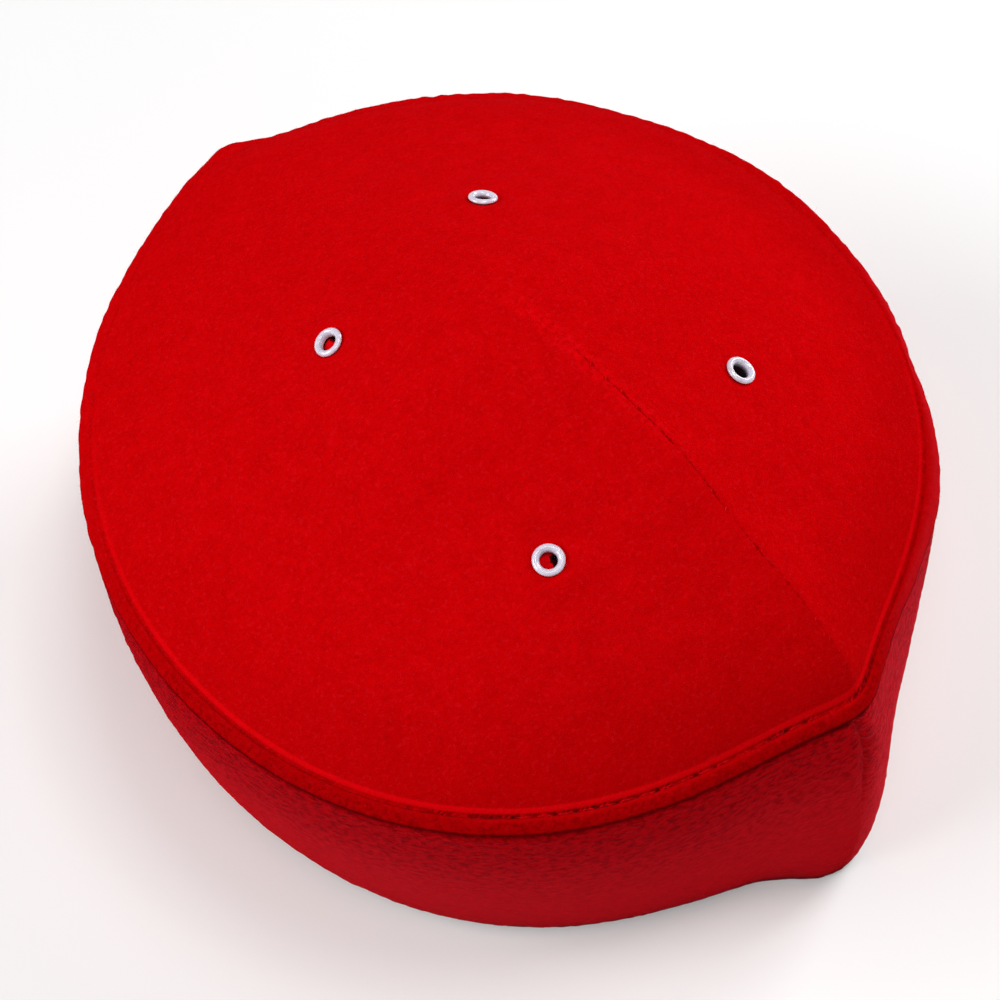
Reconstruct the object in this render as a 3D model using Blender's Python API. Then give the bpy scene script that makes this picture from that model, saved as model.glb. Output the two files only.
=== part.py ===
"""A low felt fez: a pinched crown, a rolled rim, two side bands and four enamelled eyelets.

The hat stands on its foot at z = 0 with its front, the stitched end of the ridge, towards -Y.
Left and right are the wearer's, so the left side is at +X. All lengths are in metres.
An angle round the hat starts at the front corner and grows towards +X.
"""

import math
from collections import namedtuple

import bmesh
import bpy
import numpy as np
from mathutils import Vector

MM = 0.001

# Plan outlines. Each is an oval with a pointed corner at the front and at the back.
Outline = namedtuple(
    "Outline",
    "half_width half_length centre_y roundness front_tip front_spread back_tip back_spread rounding",
)
RIM = Outline(88.3 * MM, 85.1 * MM, 1.4 * MM, 2.05, 6.3 * MM, 0.13, 14.6 * MM, 0.52, 0.05)
FOOT = Outline(87.1 * MM, 87.7 * MM, -2.2 * MM, 2.01, 17.4 * MM, 0.145, 15.5 * MM, 0.20, 0.09)

# Height of the rim's stitched line above the foot.
RIM_HEIGHT = 74.6 * MM
RIM_CLIMB_TO_BACK = 3.3 * MM
RIM_DIP_AT_SIDES = 1.1 * MM
RIM_DIP_BESIDE_FRONT = 1.0 * MM

# Crown: a sharp ridge between full flanks over the front half, fading into a cone at the back.
CROWN_RISE = 40.0 * MM
RIDGE_POWER = 2.0
FRONT_FLANK_SWAY = 0.027
FLANK_FULLNESS = 4.2 * MM
FLANK_FULLEST_Y = -47.5 * MM
FLANK_FULL_REACH = 40.5 * MM
FRONT_CREST_ROUNDING = 0.02
BACK_CREST_ROUNDING = 0.12
CREST_SOFTENS_FROM_Y = -26.0 * MM
PINCH_HEIGHT = 0.8 * MM
PINCH_HALF_WIDTH = 2.5 * MM
PINCH_END_Y = 7.0 * MM
PINCH_FADE = 9.0 * MM
PUFF_ALL_ROUND = 1.5 * MM
PUFF_AT_FRONT = 3.5 * MM
PUFF_FRONT_SPREAD = 0.12
PUFF_WIDTH = 2.2 * MM

# Felt plies.
CROWN_FELT = 2.0 * MM
LINING_DEPTH = 3.0 * MM
LINING_FELT = 1.0 * MM
BAND_FELT = 2.2 * MM
GAP = 0.3 * MM

# Rolled rim, in section: distance outwards from the stitched line, and height above it.
RollPoint = namedtuple("RollPoint", "out up")
ROLL = (
    RollPoint(0.7 * MM, -0.35 * MM),
    RollPoint(2.0 * MM, 0.35 * MM),
    RollPoint(3.1 * MM, -0.15 * MM),
    RollPoint(3.8 * MM, -1.3 * MM),
    RollPoint(3.75 * MM, -2.2 * MM),
    RollPoint(3.3 * MM, -2.9 * MM),
)
ROLL_UNDERSIDE = ROLL[-1].up

# Side bands.
BAND_TOP_OUT = ROLL[-1].out
BAND_BULGE = 4.3 * MM
BAND_SHOULDER = 0.5 * MM
BAND_SHOULDER_HEIGHT = 0.02
BAND_ROWS_OUTSIDE = (0.0, 0.02, 0.08, 0.2, 0.35, 0.5, 0.65, 0.82, 1.0)
BAND_ROWS_INSIDE = (1.0, 0.75, 0.5, 0.25, 0.08, 0.0)
FRONT_SEAM_ANGLE = -0.025

# Eyelets: the turned section, as radius from the axis and height above the felt.
EyeletPoint = namedtuple("EyeletPoint", "radius up")
EYELET_SECTION = (
    EyeletPoint(1.75 * MM, -2.2 * MM),
    EyeletPoint(1.75 * MM, 0.1 * MM),
    EyeletPoint(1.95 * MM, 0.6 * MM),
    EyeletPoint(2.5 * MM, 0.95 * MM),
    EyeletPoint(3.05 * MM, 0.7 * MM),
    EyeletPoint(3.25 * MM, 0.3 * MM),
    EyeletPoint(3.1 * MM, 0.0),
    EyeletPoint(2.15 * MM, 0.0),
    EyeletPoint(2.15 * MM, -1.85 * MM),
    EyeletPoint(2.75 * MM, -1.85 * MM),
    EyeletPoint(2.75 * MM, -2.2 * MM),
)
EYELET_SIDES = 18
Eyelet = namedtuple("Eyelet", "name x y")
EYELETS = (
    Eyelet("eyelet_front_right", -30.6 * MM, -35.4 * MM),
    Eyelet("eyelet_front_left", 27.3 * MM, -34.1 * MM),
    Eyelet("eyelet_back_right", -26.2 * MM, 30.0 * MM),
    Eyelet("eyelet_back_left", 23.5 * MM, 34.9 * MM),
)
SEAT_RADIUS = 3.6 * MM
SEAT_TOP = -0.3 * MM
SEAT_BOTTOM = -1.5 * MM
PUNCHED_RADIUS = 2.45 * MM
CUTTER_REACH = 3.0 * MM

# Mesh divisions.
DIVISIONS = 72
CORNER_CROWDING = 0.4
CROWN_RINGS = (0.05, 0.12, 0.2, 0.3, 0.4, 0.5, 0.6, 0.7, 0.8, 0.88, 0.94, 0.975, 1.0)
UNDER_RINGS = (1.0, 0.88, 0.72, 0.55, 0.38, 0.22, 0.1)
LINING_LOWER_RINGS = (0.2, 0.45, 0.72, 1.0)
LINING_EDGE_INSET = 0.35 * MM

Finish = namedtuple("Finish", "colour roughness metallic")
CROWN_FINISH = Finish((0.56, 0.004, 0.008, 1.0), 0.95, 0.0)
BAND_FINISH = Finish((0.50, 0.004, 0.010, 1.0), 0.95, 0.0)
LINING_FINISH = Finish((0.48, 0.004, 0.008, 1.0), 0.95, 0.0)
ENAMEL_FINISH = Finish((0.82, 0.80, 0.84, 1.0), 0.25, 0.0)


def smooth_step(value, low, high):
    t = min(1.0, max(0.0, (value - low) / (high - low)))
    return t * t * (3.0 - 2.0 * t)


def soft_distance(value, rounding):
    """A distance from 0 whose point at 0 is rounded, still 0 at 0."""
    return math.sqrt(value * value + rounding * rounding) - rounding


def fold_to_corner(angle):
    """Distance in radians from the back corner."""
    return math.pi - abs(angle)


def outline_radius(outline, angle):
    across = abs(math.sin(angle)) / outline.half_width
    along = abs(math.cos(angle)) / outline.half_length
    oval = (across**outline.roundness + along**outline.roundness) ** (-1.0 / outline.roundness)
    from_front = soft_distance(angle, outline.rounding)
    from_back = soft_distance(fold_to_corner(angle), outline.rounding)
    front = outline.front_tip * math.exp(-from_front / outline.front_spread)
    back = outline.back_tip * math.exp(-from_back / outline.back_spread)
    return oval + front + back


def outline_point(outline, angle, outset=0.0):
    """The point of an outline at an angle, moved outwards so that its wall moves by outset."""
    step = 0.01
    radius = outline_radius(outline, angle)
    ahead = outline_radius(outline, wrap(angle + step))
    behind = outline_radius(outline, wrap(angle - step))
    lean = (ahead - behind) / (2.0 * step * radius)
    radius += outset * math.sqrt(1.0 + lean * lean)
    return radius * math.sin(angle), outline.centre_y - radius * math.cos(angle)


def wrap(angle):
    return (angle + math.pi) % (2.0 * math.pi) - math.pi


def rim_height(angle):
    return (
        RIM_HEIGHT
        - RIM_CLIMB_TO_BACK * math.cos(angle)
        + RIM_DIP_AT_SIDES * math.cos(2.0 * angle)
        + RIM_DIP_BESIDE_FRONT * math.cos(3.0 * angle)
    )


def make_width_lookup():
    """The rim's half width for a place along the hat, read off its outline."""
    angles = np.linspace(0.0, math.pi, 721)
    points = [outline_point(RIM, float(angle)) for angle in angles]
    widths = [point[0] for point in points]
    places = [point[1] for point in points]
    return lambda y: float(np.interp(y, places, widths))


rim_half_width_at = make_width_lookup()


def crown_shape(x, y, share):
    """Rise of the crown as a share of CROWN_RISE; share is 0 at its middle and 1 at the rim."""
    if y >= RIM.centre_y:
        return 1.0 - soft_share(share, BACK_CREST_ROUNDING)
    forward = (RIM.centre_y - y) / (RIM.half_length + RIM.front_tip)
    ridge = 1.0 - min(1.0, forward) ** RIDGE_POWER
    across = share_across(x, y)
    softening = smooth_step(y, CREST_SOFTENS_FROM_Y, RIM.centre_y)
    rounding = FRONT_CREST_ROUNDING + (BACK_CREST_ROUNDING - FRONT_CREST_ROUNDING) * softening
    flank = 1.0 - soft_share(across, rounding)
    flank -= FRONT_FLANK_SWAY * math.sin(2.0 * math.pi * across) * (1.0 - softening)
    return ridge * flank


def share_across(x, y):
    """Distance from the ridge as a share of the rim's half width there."""
    return min(1.0, abs(x) / max(rim_half_width_at(y), 1e-6))


def flank_fullness(x, y, share):
    """How far the flanks stand above a straight slope from the ridge to the rim."""
    along = math.exp(-(((y - FLANK_FULLEST_Y) / FLANK_FULL_REACH) ** 2))
    return FLANK_FULLNESS * math.sin(math.pi * share_across(x, y)) * along * (1.0 - share**6)


def soft_share(share, rounding):
    return soft_distance(share, rounding) / soft_distance(1.0, rounding)


def crown_base_height(angle, share):
    """The crown without its rim puff and its pinch."""
    x, y = crown_place(angle, share)
    level = RIM_HEIGHT + (rim_height(angle) - RIM_HEIGHT) * share * share
    rise = (CROWN_RISE - rim_puff(angle)) * crown_shape(x, y, share)
    return level + rise + flank_fullness(x, y, share)


def rim_puff(angle):
    """How far the felt stands up just inside the rim's stitched line."""
    return PUFF_ALL_ROUND + PUFF_AT_FRONT * math.exp(-((angle / PUFF_FRONT_SPREAD) ** 2))


def crown_height(angle, share):
    x, y = crown_place(angle, share)
    inwards = (1.0 - share) * outline_radius(RIM, angle)
    off_rim = 1.0 - math.exp(-inwards / PUFF_WIDTH)
    pinch = PINCH_HEIGHT * math.exp(-((x / PINCH_HALF_WIDTH) ** 2))
    pinch *= 1.0 - smooth_step(y, PINCH_END_Y - PINCH_FADE, PINCH_END_Y)
    return crown_base_height(angle, share) + off_rim * (rim_puff(angle) + pinch)


def crown_place(angle, share):
    radius = outline_radius(RIM, angle) * share
    return radius * math.sin(angle), RIM.centre_y - radius * math.cos(angle)


def crown_point_at(x, y):
    """The crown's surface point above a place in plan."""
    angle = math.atan2(x, RIM.centre_y - y)
    share = math.hypot(x, y - RIM.centre_y) / outline_radius(RIM, angle)
    return Vector((x, y, crown_height(angle, share)))


def crown_frame_at(x, y):
    """The crown's surface point and its upward normal."""
    reach = 2.0 * MM
    along_x = crown_point_at(x + reach, y) - crown_point_at(x - reach, y)
    along_y = crown_point_at(x, y + reach) - crown_point_at(x, y - reach)
    return crown_point_at(x, y), along_x.cross(along_y).normalized()


def corner_crowded_angles():
    """Angles once round the hat, closer together at the front and back corners."""
    steps = [2.0 * math.pi * i / DIVISIONS - math.pi for i in range(DIVISIONS)]
    return [step - CORNER_CROWDING * math.sin(2.0 * step) for step in steps]


def loft(name, rings):
    """A closed mesh through rings of points; a ring of one point is a pole."""
    mesh = bmesh.new()
    rows = [[mesh.verts.new(point) for point in ring] for ring in rings]
    for row, following in zip(rows, rows[1:]):
        count = max(len(row), len(following))
        for i in range(count):
            j = (i + 1) % count
            corners = [row[i % len(row)], following[i % len(following)]]
            corners += [following[j % len(following)], row[j % len(row)]]
            mesh.faces.new(list(dict.fromkeys(corners)))
    return finish_mesh(name, mesh)


def finish_mesh(name, mesh, smooth_under=math.radians(40.0)):
    bmesh.ops.recalc_face_normals(mesh, faces=mesh.faces)
    data = bpy.data.meshes.new(name)
    mesh.to_mesh(data)
    mesh.free()
    data.shade_smooth()
    data.set_sharp_from_angle(angle=smooth_under)
    piece = bpy.data.objects.new(name, data)
    bpy.context.scene.collection.objects.link(piece)
    return piece


def give_finish(piece, name, finish):
    material = bpy.data.materials.get(name) or bpy.data.materials.new(name)
    material.use_nodes = True
    shader = material.node_tree.nodes["Principled BSDF"]
    shader.inputs["Base Color"].default_value = finish.colour
    shader.inputs["Roughness"].default_value = finish.roughness
    shader.inputs["Metallic"].default_value = finish.metallic
    piece.data.materials.append(material)


def crown_ring(angles, share, drop=None):
    """One ring of the crown: its outer face, or drop below its plain inner face."""
    ring = []
    for angle in angles:
        x, y = crown_place(angle, share)
        height = crown_height(angle, share) if drop is None else crown_base_height(angle, share) - drop
        ring.append((x, y, height))
    return ring


def rim_ring(angles, out, up):
    ring = []
    for angle in angles:
        x, y = outline_point(RIM, angle, out)
        ring.append((x, y, rim_height(angle) + up))
    return ring


def make_crown():
    angles = corner_crowded_angles()
    rings = [crown_ring(angles[:1], 0.0)]
    rings += [crown_ring(angles, share) for share in CROWN_RINGS]
    rings += [rim_ring(angles, point.out, point.up) for point in ROLL]
    rings += [rim_ring(angles, 0.0, ROLL_UNDERSIDE)]
    rings += [crown_ring(angles, share, CROWN_FELT) for share in UNDER_RINGS]
    rings += [crown_ring(angles[:1], 0.0, CROWN_FELT)]
    return loft("top_panel", rings)


def make_lining():
    """The inner ply under the crown, which shows red through the eyelets."""
    angles = corner_crowded_angles()
    edge = 1.0 - LINING_EDGE_INSET / RIM.half_width
    shares = [min(share, edge) for share in reversed(UNDER_RINGS)]
    lower = [min(share, edge) for share in reversed(LINING_LOWER_RINGS)]
    rings = [crown_ring(angles[:1], 0.0, LINING_DEPTH)]
    rings += [crown_ring(angles, share, LINING_DEPTH) for share in shares]
    rings += [crown_ring(angles, share, LINING_DEPTH + LINING_FELT) for share in lower]
    rings += [crown_ring(angles[:1], 0.0, LINING_DEPTH + LINING_FELT)]
    return loft("top_lining", rings)


def band_point(angle, share, depth):
    """A point of the band: share is 0 under the roll and 1 at the foot, depth is into the felt."""
    outset = BAND_BULGE * 4.0 * share * (1.0 - share) - depth
    if depth == 0.0:
        outset -= BAND_SHOULDER * math.exp(-share / BAND_SHOULDER_HEIGHT)
    top_x, top_y = outline_point(RIM, angle, BAND_TOP_OUT + outset)
    foot_x, foot_y = outline_point(FOOT, angle, outset)
    top_z = rim_height(angle) + ROLL_UNDERSIDE - GAP
    x = top_x + (foot_x - top_x) * share
    y = top_y + (foot_y - top_y) * share
    return x, y, top_z * (1.0 - share)


def make_band(name, side):
    """Half of the side wall, from the front seam to the back seam; side is +1 or -1 along X."""
    half_gap = GAP / 2 / outline_radius(FOOT, 0.0)
    front = FRONT_SEAM_ANGLE + side * half_gap
    back = side * (math.pi - half_gap)
    between = sorted(side * angle for angle in corner_crowded_angles())
    between = [angle for angle in between if side * front + half_gap < angle < side * back - half_gap]
    angles = [front] + [side * angle for angle in between] + [back]
    mesh = bmesh.new()
    rows = []
    for angle in angles:
        points = [band_point(angle, share, 0.0) for share in BAND_ROWS_OUTSIDE]
        points += [band_point(angle, share, BAND_FELT) for share in BAND_ROWS_INSIDE]
        rows.append([mesh.verts.new(point) for point in points])
    for row, following in zip(rows, rows[1:]):
        count = len(row)
        for i in range(count):
            j = (i + 1) % count
            mesh.faces.new((row[i], row[j], following[j], following[i]))
    mesh.faces.new(rows[0])
    mesh.faces.new(rows[-1])
    return finish_mesh(name, mesh)


def turned(name, section, sides):
    """A ring turned from a closed section about Z."""
    mesh = bmesh.new()
    rows = []
    for i in range(sides):
        turn = 2.0 * math.pi * i / sides
        row = [(p.radius * math.cos(turn), p.radius * math.sin(turn), p.up) for p in section]
        rows.append([mesh.verts.new(point) for point in row])
    for i in range(sides):
        row, following = rows[i], rows[(i + 1) % sides]
        for j in range(len(section)):
            k = (j + 1) % len(section)
            mesh.faces.new((row[j], row[k], following[k], following[j]))
    return finish_mesh(name, mesh)


def make_punch(name):
    """The cutter for one eyelet: its hole, with a shallow seat on both faces of the felt."""
    section = (
        (0.0, CUTTER_REACH),
        (SEAT_RADIUS, CUTTER_REACH),
        (SEAT_RADIUS, SEAT_TOP),
        (PUNCHED_RADIUS, SEAT_TOP),
        (PUNCHED_RADIUS, SEAT_BOTTOM),
        (SEAT_RADIUS, SEAT_BOTTOM),
        (SEAT_RADIUS, -CUTTER_REACH),
        (0.0, -CUTTER_REACH),
    )
    rings = []
    for radius, up in section:
        count = EYELET_SIDES if radius else 1
        turns = [2.0 * math.pi * i / EYELET_SIDES for i in range(count)]
        rings.append([(radius * math.cos(t), radius * math.sin(t), up) for t in turns])
    punch = loft(name, rings)
    punch.hide_render = True
    punch.display_type = "WIRE"
    return punch


def seat_on_crown(piece, x, y):
    point, normal = crown_frame_at(x, y)
    piece.location = point
    piece.rotation_mode = "QUATERNION"
    piece.rotation_quaternion = normal.to_track_quat("Z", "Y")


def make_eyelets(crown):
    for eyelet in EYELETS:
        piece = turned(eyelet.name, EYELET_SECTION, EYELET_SIDES)
        seat_on_crown(piece, eyelet.x, eyelet.y)
        give_finish(piece, "eyelet_enamel", ENAMEL_FINISH)
        punch = make_punch(eyelet.name + "_punch")
        seat_on_crown(punch, eyelet.x, eyelet.y)
        cut = crown.modifiers.new(eyelet.name, "BOOLEAN")
        cut.operation = "DIFFERENCE"
        cut.solver = "EXACT"
        cut.object = punch


def clear_scene():
    for item in list(bpy.data.objects):
        bpy.data.objects.remove(item, do_unlink=True)


def main():
    clear_scene()
    crown = make_crown()
    give_finish(crown, "felt_crown", CROWN_FINISH)
    make_eyelets(crown)
    give_finish(make_lining(), "felt_lining", LINING_FINISH)
    for name, side in (("side_band_left", 1.0), ("side_band_right", -1.0)):
        give_finish(make_band(name, side), "felt_band", BAND_FINISH)


main()
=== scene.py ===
"""Looks of the low felt fez: brushed red felt, sewn seams, a rolled rim and enamelled eyelets.

Lengths are in metres in the part's own frame: the front corner is towards -Y and the wearer's left
is at +X. An angle round the hat starts at the front corner and grows towards +X.
"""

import math
from collections import namedtuple

import bmesh
import bpy
import numpy as np
from mathutils import Matrix, Vector


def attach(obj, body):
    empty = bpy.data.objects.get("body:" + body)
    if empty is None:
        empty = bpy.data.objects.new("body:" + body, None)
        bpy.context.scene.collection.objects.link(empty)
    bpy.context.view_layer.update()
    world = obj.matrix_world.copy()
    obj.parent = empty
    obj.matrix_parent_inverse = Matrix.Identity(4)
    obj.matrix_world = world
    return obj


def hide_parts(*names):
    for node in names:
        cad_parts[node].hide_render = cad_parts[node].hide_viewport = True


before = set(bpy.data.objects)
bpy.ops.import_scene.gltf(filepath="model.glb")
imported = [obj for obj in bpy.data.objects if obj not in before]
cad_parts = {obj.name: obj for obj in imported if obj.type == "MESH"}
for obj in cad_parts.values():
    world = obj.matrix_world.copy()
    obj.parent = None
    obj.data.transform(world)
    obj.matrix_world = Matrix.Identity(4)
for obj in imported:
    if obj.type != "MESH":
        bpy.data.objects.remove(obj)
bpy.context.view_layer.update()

MM = 0.001

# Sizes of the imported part.
Outline = namedtuple(
    "Outline",
    "half_width half_length centre_y roundness "
    "front_tip front_spread back_tip back_spread rounding",
)
RIM = Outline(88.3 * MM, 85.1 * MM, 1.4 * MM, 2.05, 6.3 * MM, 0.13, 14.6 * MM, 0.52, 0.05)
FOOT = Outline(87.1 * MM, 87.7 * MM, -2.2 * MM, 2.01, 17.4 * MM, 0.145, 15.5 * MM, 0.20, 0.09)

RIM_HEIGHT = 74.6 * MM
RIM_CLIMB_TO_BACK = 3.3 * MM
RIM_DIP_AT_SIDES = 1.1 * MM
RIM_DIP_BESIDE_FRONT = 1.0 * MM

CROWN_RISE = 40.0 * MM
RIDGE_POWER = 2.0
FRONT_FLANK_SWAY = 0.027
FLANK_FULLNESS = 4.2 * MM
FLANK_FULLEST_Y = -47.5 * MM
FLANK_FULL_REACH = 40.5 * MM
FRONT_CREST_ROUNDING = 0.02
BACK_CREST_ROUNDING = 0.12
CREST_SOFTENS_FROM_Y = -26.0 * MM
PINCH_HEIGHT = 0.5 * MM
PINCH_HALF_WIDTH = 2.5 * MM
PINCH_END_Y = 7.0 * MM
PINCH_FADE = 9.0 * MM
PUFF_ALL_ROUND = 1.5 * MM
PUFF_AT_FRONT = 3.5 * MM
PUFF_FRONT_SPREAD = 0.12
PUFF_WIDTH = 2.2 * MM

CROWN_FELT = 2.0 * MM
LINING_DEPTH = 3.0 * MM
LINING_FELT = 1.0 * MM
BAND_FELT = 2.2 * MM
BAND_TOP_OUT = 3.3 * MM
BAND_BULGE = 4.3 * MM
ROLL_UNDERSIDE = -2.9 * MM
GAP = 0.3 * MM


def in_metres(kind, *rows):
    """A table whose rows are written in millimetres."""
    return tuple(kind(*(value * MM for value in row)) for row in rows)


# How each eyelet leans off the crown and, in millimetres, where it sits, how deep its barrel shows,
# the depth at which its bore's painted shade is full, and how far off it and how wide the lining's
# hole is.
Eyelet = namedtuple("Eyelet", "name lean_x lean_y x y barrel dark_by hole_x hole_y hole_radius")


def eyelet_row(name, lean_x, lean_y, *millimetres):
    return Eyelet(name, lean_x, lean_y, *(value * MM for value in millimetres))


EYELETS = (
    eyelet_row("eyelet_front_right", 0.165, 0.110, -30.6, -35.6, 1.0, 1.6, 2.05, -1.15, 2.05),
    eyelet_row("eyelet_front_left", -0.007, -0.040, 26.9, -34.3, 2.4, 0.9, 2.2, 0.4, 2.6),
    eyelet_row("eyelet_back_right", -0.130, 0.000, -26.4, 29.4, 0.7, 4.0, 1.65, 0.9, 1.3),
    eyelet_row("eyelet_back_left", 0.110, -0.040, 22.8, 34.1, 1.0, 0.55, 2.6, 2.6, 2.0),
)
EyeletPoint = namedtuple("EyeletPoint", "radius up")
EYELET_SECTION = in_metres(
    EyeletPoint,
    (1.75, 0.0),
    (1.75, 0.1),
    (1.95, 0.6),
    (2.5, 0.95),
    (3.05, 0.7),
    (3.25, 0.3),
    (3.1, 0.0),
    (2.15, 0.0),
)
EYELET_SIDES = 72
# Painted shade down an eyelet's bore: inside this radius, starting at this depth.
BORE_RADIUS = 2.05 * MM
BORE_DARKENS_FROM = -0.35 * MM

# The lining bulges up into each hole of the crown. Heights are from the end of the barrel, and the
# foot's is from the crown.
BULGE_SECTION = in_metres(
    EyeletPoint, (1.5, -1.3), (0.02, -0.9), (0.02, -0.2), (1.4, -0.25), (2.0, -0.5), (2.28, -1.2)
)
BULGE_FOOT = -4.5 * MM
PUNCH_RADIUS = 2.4 * MM

# Rolled rim, in section: distance outwards from the stitched line, the height where the rim is
# quilted, towards the front, and the height where it runs smooth, at the back. Only its top has
# the stitches' groove, and only its bottom is left out where felt fills the rim's crease.
RollPoint = namedtuple("RollPoint", "out up smooth_up")
ROLL = in_metres(
    RollPoint,
    (0.30, 0.02, -0.02),
    (0.52, -0.28, -0.05),
    (0.80, -0.38, -0.10),
    (1.08, -0.08, -0.16),
    (1.38, 0.06, -0.24),
    (1.75, 0.00, -0.36),
    (2.20, -0.26, -0.54),
    (2.65, -0.66, -0.80),
    (3.10, -1.12, -1.12),
    (3.45, -1.70, -1.52),
    (3.68, -2.28, -2.02),
    (3.72, -2.75, -2.52),
    (3.50, -3.10, -2.95),
    (2.7, -3.25, -3.20),
    (1.6, -3.1, -3.1),
    (0.6, -2.9, -2.9),
)
ROLL_FINE_STEPS = 2
GROOVED_ABOVE = -1.0 * MM
FILLED_ABOVE = -3.0 * MM
STITCH_PITCH = 4.0 * MM
BACK_CORNER_ANGLE = 3.075
BACK_CORNER_PINCH = 2.0 * MM
BACK_CORNER_SPREAD = 0.06
RIM_FILL = 0.75 * MM
RIM_FILL_REACH = 1.5 * MM

# The ridge bows a little to the wearer's right before it meets the front corner.
RIDGE_BOW = -1.0 * MM
RIDGE_BOW_Y = -60.0 * MM
RIDGE_BOW_SPREAD = 12.0 * MM

# The roll's reach, the foot and the band's middle wander a little round the hat: the angle of each
# swell, its outset in millimetres and its spread.
Wander = namedtuple("Wander", "angle outset spread")


def wanders(*rows):
    return tuple(Wander(angle, outset * MM, spread) for angle, outset, spread in rows)


RIM_WANDER = wanders(
    (2.90, -0.70, 0.10),
    (2.50, 0.95, 0.42),
    (2.05, -0.85, 0.14),
    (1.62, 1.00, 0.22),
    (1.50, 0.60, 0.40),
    (0.95, -0.90, 0.12),
    (0.75, 0.55, 0.20),
    (0.56, 0.90, 0.13),
    (0.22, -0.45, 0.08),
    (-2.60, 0.60, 0.20),
)
FOOT_WANDER = wanders(
    (-0.62, 0.41, 0.30),
    (-0.38, 0.21, 0.10),
    (-0.19, -0.84, 0.08),
    (-0.09, 0.23, 0.03),
    (-0.01, -0.53, 0.04),
    (0.16, -0.60, 0.10),
)
BELLY_WANDER = wanders((0.14, -0.80, 0.09), (0.46, -0.90, 0.13))
BELLY_SHARE = 0.62
BELLY_SPREAD = 0.22

# The rim is quilted most round this angle, and runs smooth at the back.
QUILTED_ANGLE = -0.6
QUILTED_HALF_SPAN = 0.75
QUILTED_FADE = 1.1

# Soft random ups and downs of the felt: height, size and seed of each layer. The band's wool lies
# in lumps that are lower than they are wide.
Relief = namedtuple("Relief", "height size seed")
CROWN_RELIEF = (Relief(0.22 * MM, 26.0 * MM, 11), Relief(0.07 * MM, 6.0 * MM, 12))
ROLL_RELIEF = (Relief(0.045 * MM, 2.8 * MM, 21), Relief(0.04 * MM, 19.0 * MM, 22))
LINING_RELIEF = (Relief(0.12 * MM, 14.0 * MM, 31),)
BAND_RELIEF = (Relief(0.08 * MM, 34.0 * MM, 41), Relief(0.035 * MM, 8.0 * MM, 42))
WOOL_RELIEF = (Relief(0.06 * MM, 2.6 * MM, 43),)
WOOL_FLATNESS = (1.0, 1.0, 1.6)

LOWEST_FIBRE = 0.05 * MM


def smooth_step(value, low, high):
    t = np.clip((value - low) / (high - low), 0.0, 1.0)
    return t * t * (3.0 - 2.0 * t)


def fade(value, low, high):
    return 1.0 - smooth_step(value, low, high)


def soft_distance(value, rounding):
    return np.sqrt(value * value + rounding * rounding) - rounding


def soft_share(share, rounding):
    return soft_distance(share, rounding) / soft_distance(1.0, rounding)


def wrap(angle):
    return (angle + math.pi) % (2.0 * math.pi) - math.pi


def bell(value, width):
    return np.exp(-((value / width) ** 2))


def outline_radius(outline, angle):
    across = np.abs(np.sin(angle)) / outline.half_width
    along = np.abs(np.cos(angle)) / outline.half_length
    oval = (across**outline.roundness + along**outline.roundness) ** (-1.0 / outline.roundness)
    from_front = soft_distance(angle, outline.rounding)
    from_back = soft_distance(math.pi - np.abs(angle), outline.rounding)
    front = outline.front_tip * np.exp(-from_front / outline.front_spread)
    back = outline.back_tip * np.exp(-from_back / outline.back_spread)
    return oval + front + back


def outline_point(outline, angle, outset=0.0):
    step = 0.01
    radius = outline_radius(outline, angle)
    ahead = outline_radius(outline, wrap(angle + step))
    behind = outline_radius(outline, wrap(angle - step))
    lean = (ahead - behind) / (2.0 * step * radius)
    radius = radius + outset * np.sqrt(1.0 + lean * lean)
    return radius * np.sin(angle), outline.centre_y - radius * np.cos(angle)


def rim_height(angle):
    return (
        RIM_HEIGHT
        - RIM_CLIMB_TO_BACK * np.cos(angle)
        + RIM_DIP_AT_SIDES * np.cos(2.0 * angle)
        + RIM_DIP_BESIDE_FRONT * np.cos(3.0 * angle)
    )


RIM_WIDTHS, RIM_PLACES = outline_point(RIM, np.linspace(0.0, math.pi, 721))


def rim_half_width_at(y):
    return np.interp(y, RIM_PLACES, RIM_WIDTHS)


def ridge_place(y):
    """Where across the hat the stitched ridge runs."""
    return RIDGE_BOW * bell(y - RIDGE_BOW_Y, RIDGE_BOW_SPREAD)


def from_ridge(x, y):
    half_width = np.maximum(rim_half_width_at(y), 1e-6)
    return x - ridge_place(y) * np.clip(1.0 - (x / half_width) ** 2, 0.0, 1.0)


def share_across(x, y):
    return np.minimum(1.0, np.abs(from_ridge(x, y)) / np.maximum(rim_half_width_at(y), 1e-6))


def flank_fullness(x, y, share):
    along = bell(y - FLANK_FULLEST_Y, FLANK_FULL_REACH)
    return FLANK_FULLNESS * np.sin(math.pi * share_across(x, y)) * along * (1.0 - share**6)


def crown_shape(x, y, share):
    forward = (RIM.centre_y - y) / (RIM.half_length + RIM.front_tip)
    ridge = 1.0 - np.clip(forward, 0.0, 1.0) ** RIDGE_POWER
    across = share_across(x, y)
    softening = smooth_step(y, CREST_SOFTENS_FROM_Y, RIM.centre_y)
    rounding = FRONT_CREST_ROUNDING + (BACK_CREST_ROUNDING - FRONT_CREST_ROUNDING) * softening
    flank = 1.0 - soft_share(across, rounding)
    flank -= FRONT_FLANK_SWAY * np.sin(2.0 * math.pi * across) * (1.0 - softening)
    return np.where(y >= RIM.centre_y, 1.0 - soft_share(share, BACK_CREST_ROUNDING), ridge * flank)


def rim_puff(angle):
    return PUFF_ALL_ROUND + PUFF_AT_FRONT * bell(angle, PUFF_FRONT_SPREAD)


def crown_place(angle, share):
    radius = outline_radius(RIM, angle) * share
    return radius * np.sin(angle), RIM.centre_y - radius * np.cos(angle)


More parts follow.
